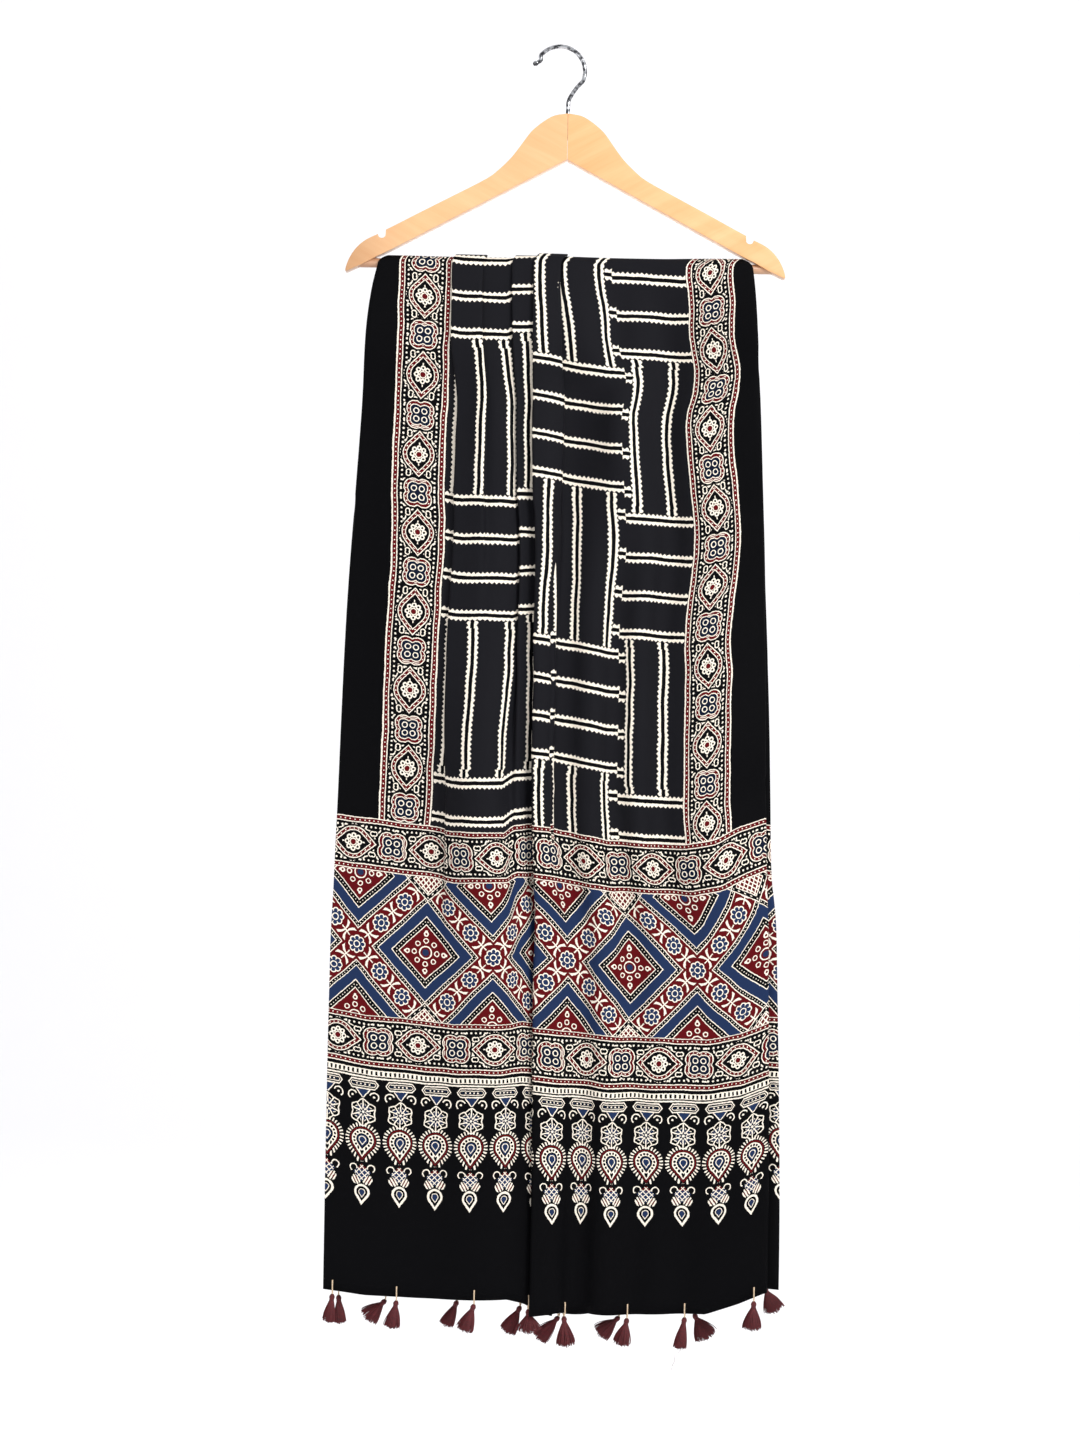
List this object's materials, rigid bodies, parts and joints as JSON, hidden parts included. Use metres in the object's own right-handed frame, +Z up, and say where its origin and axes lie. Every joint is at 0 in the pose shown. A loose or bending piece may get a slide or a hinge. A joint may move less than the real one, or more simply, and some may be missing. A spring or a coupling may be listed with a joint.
{
  "type": "ajrakh stole on a wooden clothes hanger",
  "caption": "Block-printed black cotton stole with maroon tassels, folded over the trouser bar of a wooden clothes hanger with a turning wire hook.",
  "frame": {"origin": "inner top of the hook's bend, where a rail carries the hanger", "axes": "+Z up, +X to the viewer's right, -Y towards the viewer, who faces the front of the cloth"},
  "size_m": [0.439, 0.079, 1.2431],
  "materials": {
    "chrome": "polished",
    "arm_wood": "satin lacquer",
    "bar_wood": "satin lacquer",
    "printed_cotton": "matt block-printed cotton",
    "maroon_yarn": "soft yarn",
    "cream_cord": "twisted cord"
  },
  "bodies": {
    "hook": {"hook": "chrome"},
    "hanger": {"arm_left": "arm_wood", "arm_right": "arm_wood", "trouser_bar": "bar_wood", "ajrakh_cloth": "printed_cotton", "tassel_front_1": "maroon_yarn", "tassel_front_2": "maroon_yarn", "tassel_front_3": "maroon_yarn", "tassel_front_4": "maroon_yarn", "tassel_front_5": "maroon_yarn", "tassel_front_6": "maroon_yarn", "tassel_front_7": "maroon_yarn", "tassel_front_8": "maroon_yarn", "tassel_back_1": "maroon_yarn", "tassel_back_2": "maroon_yarn", "tassel_back_3": "maroon_yarn", "tassel_back_4": "maroon_yarn", "tassel_back_5": "maroon_yarn", "tassel_back_6": "maroon_yarn", "tassel_back_7": "maroon_yarn", "tassel_back_8": "maroon_yarn", "cord_front_1": "cream_cord", "cord_front_2": "cream_cord", "cord_front_3": "cream_cord", "cord_front_4": "cream_cord", "cord_front_5": "cream_cord", "cord_front_6": "cream_cord", "cord_front_7": "cream_cord", "cord_front_8": "cream_cord", "cord_back_1": "cream_cord", "cord_back_2": "cream_cord", "cord_back_3": "cream_cord", "cord_back_4": "cream_cord", "cord_back_5": "cream_cord", "cord_back_6": "cream_cord", "cord_back_7": "cream_cord", "cord_back_8": "cream_cord"}
  },
  "joints": [
    {"name": "hook_swivel", "type": "hinge", "parent": "hook", "child": "hanger", "pos_m": [0.0083, 0, 0], "axis": [0, 0, 1], "continuous": true}
  ]
}
